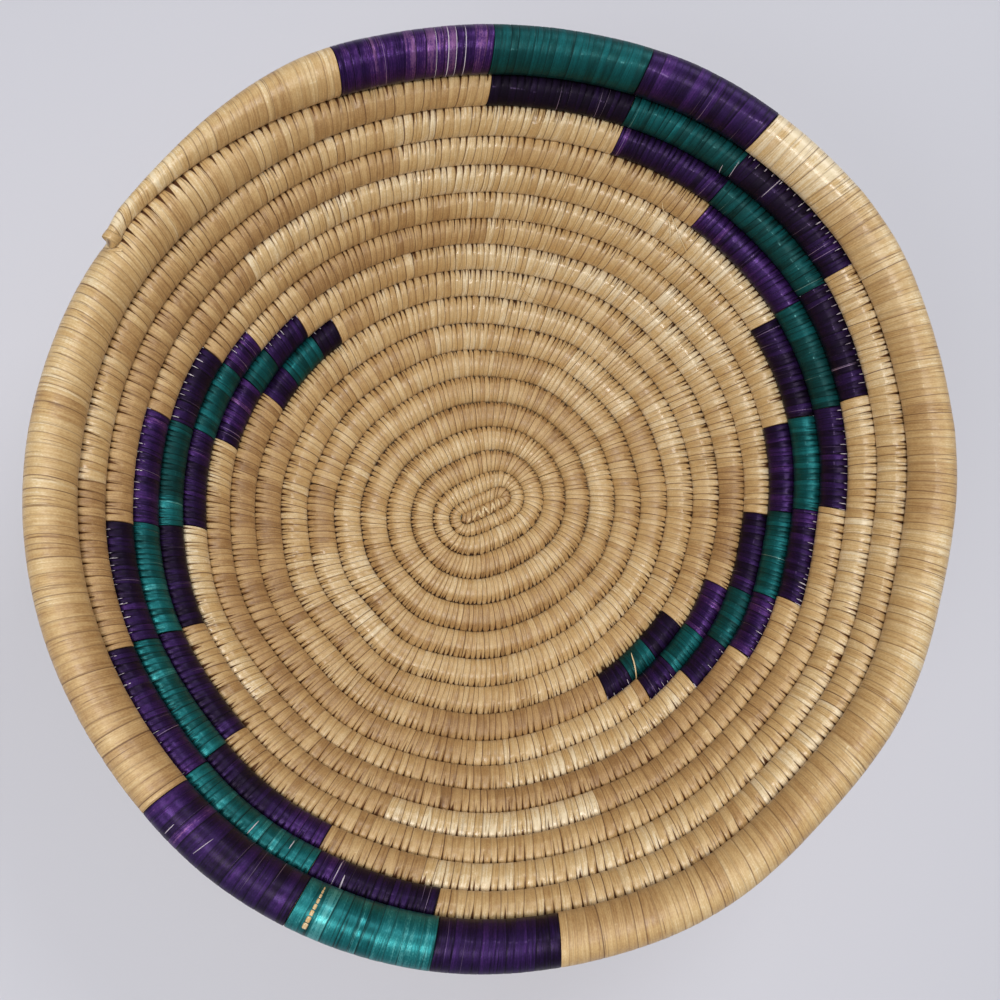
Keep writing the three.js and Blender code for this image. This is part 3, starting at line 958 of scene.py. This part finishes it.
for number, row in enumerate(MOTIF_ROWS):
    before, after = tube(row[0]), tube(row[2])
    wrap("purple", number, [before, after, carried_strand(row[1], row[2], before[0])])
print("purple wraps:", len(MOTIF_ROWS))

# %% [markdown]
# The first stitches are wound round the thin bent end of the bundle, which has no room for a bore. The sheet
# could taper to a point, but a wrapped end is blunt, so its ends are drawn together to flat caps.

# %% The start's tip
tip = {key: np.concatenate([value[:1], value, value[-1:]]) for key, value in stitched(TIP_START).items()}
start_tip = piece_from("start_tip_raffia", [(capped(tip), False)], "natural_raffia", ["start_tip"])
print("faces of the tip:", len(start_tip.data.polygons))

# %% [markdown]
# Some strips cross the middle, one ties off the end, and a few fibres have come loose. Curves with a bevel
# would be round, and these are flat, so one helper lays a flat strip on the rows, along places given by their
# turn and their angle round the row.

# %% A flat strip that lies on the rows
STRIP_RING = np.radians([0, 50, 130, 180, 230, 310])
GRAIN_STEP = 90


def strip(turns, degrees, half_width, lift=0.1, thick=0.32, tone=0.85, leaning=True, steps=9, taper=0.25):
    """A flat strip with pinched ends that runs through these turns and degrees."""
    share = (1 - np.cos(np.linspace(0, math.pi, steps))) / 2
    turn = np.interp(share, np.linspace(0, 1, len(turns)), turns)
    angle = np.interp(share, np.linspace(0, 1, len(degrees)), degrees)
    sunk = np.interp(turn, ON_ROWS, ROW_RELIEF["facet"]) * facets(angle)
    raised = np.interp(share, [0, 1], np.broadcast_to(lift, 2)) - sunk
    around = np.radians(angle)
    if leaning:
        turn = turn_at(length_at(turn) + lean(turn) * np.cos(around))
    centre = place(turn, around, raised)
    out = unit(place(turn, around, raised + 1.0) - centre)
    side = np.cross(out, unit(np.gradient(centre, axis=0)))
    opened = np.sqrt(np.clip(np.minimum(share, 1 - share) / taper, 0, 1))
    opened[[0, -1]] = 0
    across = half_width * opened[:, None] * np.cos(STRIP_RING)
    upward = thick / 2 * opened[:, None] * np.sin(STRIP_RING)
    values = {key: np.full(across.shape, value) for key, value in {**PLAIN_VALUES, "tone": tone}.items()}
    values["fibre"] = stacked(across + GRAIN_STEP * turns[0], lengths_along(centre)[:, None], degrees[0])
    values["position"] = centre[:, None] + side[:, None] * across[..., None] + out[:, None] * upward[..., None]
    return values, False


print("corners of a strip's section:", len(STRIP_RING))

# %% [markdown]
# The seam in the very middle has no inner row to bite into, so a zigzag of narrow strips pulls it together.
# They could be part of the tip's relief, but they lie on top of it and throw small shadows. The thinned tail
# is laid on the rim's shoulder, and the last strand goes round it once more. A ring would look like a clamp,
# so it is a slanting band with its end tucked under.

# %% Strips in the middle and at the tail
ZIGZAG = [(-0.330, 42, -0.297, 84), (-0.2955, 52, -0.267, 108), (-0.2655, 112, -0.265, 40),
          (-0.262, 40, -0.2505, 124), (-0.249, 126, -0.2435, 38), (-0.241, 42, -0.2245, 120),
          (-0.223, 120, -0.229, 50), (-0.213, 60, -0.196, 128)]
zigzag = [strip((a, c), (b, d), 0.6, (0.4, 0.5), 0.5, 1.0, leaning=False, taper=0.5) for a, b, c, d in ZIGZAG]
piece_from("middle_stitches", zigzag, "natural_raffia")
BAND = TAIL_END - np.array([1.9, 1.8, 2.8]) / mm_per_turn(TAIL_END)
TUCK = (TAIL_END - 1 + 0.0020, TAIL_END - 1 - 0.0010)
tie = [
    strip(BAND, (-142, 20, 160), 1.4, 0.12, 0.4, 0.62, leaning=False, steps=16, taper=0.08),
    strip(TUCK, (0, 40), 0.7, (-0.1, 0.12), 0.4, 0.75, leaning=False),
]
piece_from("tail_tie", tie, "natural_raffia")
print("strips in the middle:", len(zigzag), "at the tail:", len(tie))

# %% [markdown]
# Fibres that the dye didn't reach show white on the dark rows, and on one green stretch an undyed strip shows
# as a row of dashes. A few natural ends stand a little away from the rows. A hair system would strew them all
# at random, but here each is laid where it is seen, by its turns, its angles and half its width.

# %% Fibres and dashes
PALE_FIBRES = [
    (17.2035, 17.2035, -5, 150, 0.084), (17.199, 17.199, -8, 152, 0.168), (17.196, 17.196, -8, 150, 0.119),
    (17.1925, 17.1925, -8, 150, 0.154), (16.0575, 16.0575, 8, 110, 0.14), (16.0785, 16.077, 100, 150, 0.112),
    (16.0745, 16.073, 60, 130, 0.112), (15.5745, 15.5745, 90, 32, 0.154), (15.5895, 15.5895, 100, 66, 0.14),
    (16.554, 16.554, 26, -10, 0.126), (16.566, 16.5645, 62, 6, 0.112), (15.609, 15.609, 110, 20, 0.112),
    (15.612, 15.6125, 70, 4, 0.245)]
pale = [strip((a, b), (c, d), half, 0.14, 0.2, 0.45, steps=12) for a, b, c, d, half in PALE_FIBRES]
piece_from("pale_fibres", pale, "pale_raffia")
DASH_TURN = 16.606
DASHES = [(107, 99), (97.5, 89), (87.5, 78), (76.5, 65), (63.5, 51), (49.5, 36), (34.5, 19), (17.5, 1)]
dashes = [strip((DASH_TURN, DASH_TURN), ends, 0.24 + 0.07 * number, 0.1, 0.3, 0.9, taper=0.06)
          for number, ends in enumerate(DASHES)]
piece_from("dashed_strip", dashes, "natural_raffia")
LOOSE_FIBRES = [
    ((9.1635, 9.1575, 9.150, 9.1395, 9.1275), (28, 66, 94, 118, 130), 0.24),
    ((8.7915, 8.781), (112, 20), 0.272), ((14.0925, 14.088), (105, 155), 0.272),
    ((13.086, 13.0815, 13.0755, 13.068), (20, 46, 74, 98), 0.272),
    ((13.086, 13.0845, 13.0815, 13.0785), (42, 50, 74, 104), 0.32)]
loose = [strip(*path, (0.2, 1.0), 0.4, 1.0, leaning=False, steps=14) for path in LOOSE_FIBRES]
piece_from("loose_fibres", loose, "natural_raffia")
print("pale fibres:", len(pale), "dashes:", len(dashes), "loose fibres:", len(loose))

# %% [markdown]
# Where the next row is natural, its stitches show on the dyed row as short pale teeth. The material could
# paint them, but they lie in the notches, so a short strip goes into nearly every such notch.

# %% Bites in the dyed rows
BITE_CHANCE = 0.9
BITE_WIDTH = 0.48
BITE_ENDS = (24, 54)
BITE_TONES = (0.2, 1.1)
chance = np.random.default_rng(77)
bites = []
for turn, half in zip(notch_turns[dyed_notch], notch["half"][dyed_notch] / DYED_NOTCH_WIDTH):
    if not is_dyed(turn + 1) and chance.uniform() < BITE_CHANCE:
        ends, tone = (-8, chance.uniform(*BITE_ENDS)), chance.uniform(*BITE_TONES)
        bites.append(strip((turn, turn), ends, BITE_WIDTH * half, (-0.2, 0.06), 0.26, tone, steps=6,
                           taper=0.5))
piece_from("needle_bites", bites, "pale_raffia")
print("bites in the dyed rows:", len(bites))

# %% [markdown]
# The bundle shows nowhere on a finished bowl, but it fills the wraps. Each stem could be a tube of its own,
# but nobody sees them, so one ribbed tube stands for all nine. From the motif's first row outwards it leaves
# room for the purple strand.

# %% The grass bundle
STEMS = 9
STEM_RIDGE = 0.12
CORE_SPACE = 0.35
STRAND_ROOM = 0.75
CORE_ENDS = (CORE_START + 0.02, TAIL_END - 0.012)
core_turns = turn_at(np.arange(*length_at(CORE_ENDS), BORE_STEP))[:, None]
core_around = np.linspace(0, 2 * math.pi, STEMS * 4, endpoint=False)
ribs = STEM_RIDGE * np.cos(STEMS * core_around) - STEM_RIDGE
motif = smoothstep(core_turns, MOTIF_ROWS[0][0] - 0.5, MOTIF_ROWS[0][0])
inside = WALL + CORE_SPACE + STRAND_ROOM * motif * np.maximum(-np.sin(core_around), 0)
core = {"position": place(*np.broadcast_arrays(core_turns, core_around), ribs, inside),
        "fibre": stacked(core_around * 4, length_at(core_turns), 0.0)}

straw = Finish("dry_grass", {"Roughness": 0.8})
straw_grain = straw.noise(straw.attribute("fibre", "Vector"), (3, 0.08, 1), 3)
straw.set("Base Color", straw.ramp(straw_grain, {0.3: (0.20, 0.13, 0.05), 0.7: (0.45, 0.34, 0.16)}))
straw.set("Normal", straw.node("Bump", {}, {"Strength": 0.6, "Distance": 0.0002, "Height": straw_grain}))
grass = piece_from("grass_bundle", [(capped(core), False)], "dry_grass", ["grass_core"])
print("faces of the grass bundle:", len(grass.data.polygons))

# %% [markdown]
# The bowl stands on a pale table. A backdrop could hide its edge, but a plane is enough: the edge lies far
# outside the picture. It is a stage, not a piece of the bowl.

# %% Floor
FLOOR_HALF = 3
BELOW_BOWL = 0.0002
floor_maker = bmesh.new()
bmesh.ops.create_grid(floor_maker, x_segments=1, y_segments=1, size=FLOOR_HALF)
floor_mesh = bpy.data.meshes.new("table_top")
floor_maker.to_mesh(floor_mesh)
floor_maker.free()
floor = added("table_top", floor_mesh)
floor.location.z = -BELOW_BOWL
Finish("pale_table", {"Base Color": (0.62, 0.615, 0.665, 1), "Roughness": 0.6})
floor_mesh.materials.append(finishes["pale_table"])
print("the table is", 2 * FLOOR_HALF, "m wide")

# %% [markdown]
# The room's light comes from everywhere, so the world gives a soft base. A lamp nearly overhead puts a sheen
# on the crests, and two large windows light the flanks. One sun would be simpler, but its shadows are hard.

# %% Light
world = bpy.data.worlds.new("soft_room")
world.use_nodes = True
sky = world.node_tree.nodes["Background"]
sky.inputs["Color"].default_value = (0.93, 0.95, 1.0, 1)
sky.inputs["Strength"].default_value = 0.365
bpy.context.scene.world = world
LAMPS = {"ceiling_lamp": ((-0.10, -0.12, 0.8), 0.3, 3.3, (1, 0.985, 0.96)),
         "window": ((0.8, 1.2, 1.3), 1.0, 11.5, (0.96, 0.98, 1)),
         "second_window": ((-1.25, -1.2, 1.3), 1.2, 8.5, (0.96, 0.98, 1))}
for name, (stands_at, size, power, colour) in LAMPS.items():
    lamp = bpy.data.lights.new(name, "AREA")
    lamp.shape, lamp.size, lamp.energy, lamp.color = "DISK", size, power, colour
    holder = added(name, lamp)
    holder.location = stands_at
    holder.rotation_euler = (-holder.location).to_track_quat("-Z", "Y").to_euler()
print("lamps:", len(LAMPS))

# %% [markdown]
# The picture is taken by hand from above, a little off the middle and tilted. A camera straight above would
# be simpler, but the rows would shift against each other, so place and tilts come from fitting the grooves.

# %% Camera
COIL_CAMERA = np.array([-44.15, -54.88, 386.0])
TILT_X, TILT_Y = math.radians(-8.51), math.radians(7.51)
camera_data = bpy.data.cameras.new("camera")
camera_data.sensor_width, camera_data.lens = 36, 36
camera_data.clip_start, camera_data.clip_end = 0.01, 20
camera = added("camera", camera_data)
turned = Matrix.Rotation(TILT_X, 3, "X") @ Matrix.Rotation(TILT_Y, 3, "Y")
camera_place = (COIL_CAMERA - MIDDLE + [0, 0, BASE_HEIGHT]) * MM
camera.matrix_world = Matrix.LocRotScale(camera_place.tolist(), turned.transposed(), None)
bpy.context.scene.camera = camera
bpy.context.scene.view_settings.view_transform = "Standard"
print("camera at", camera_place)
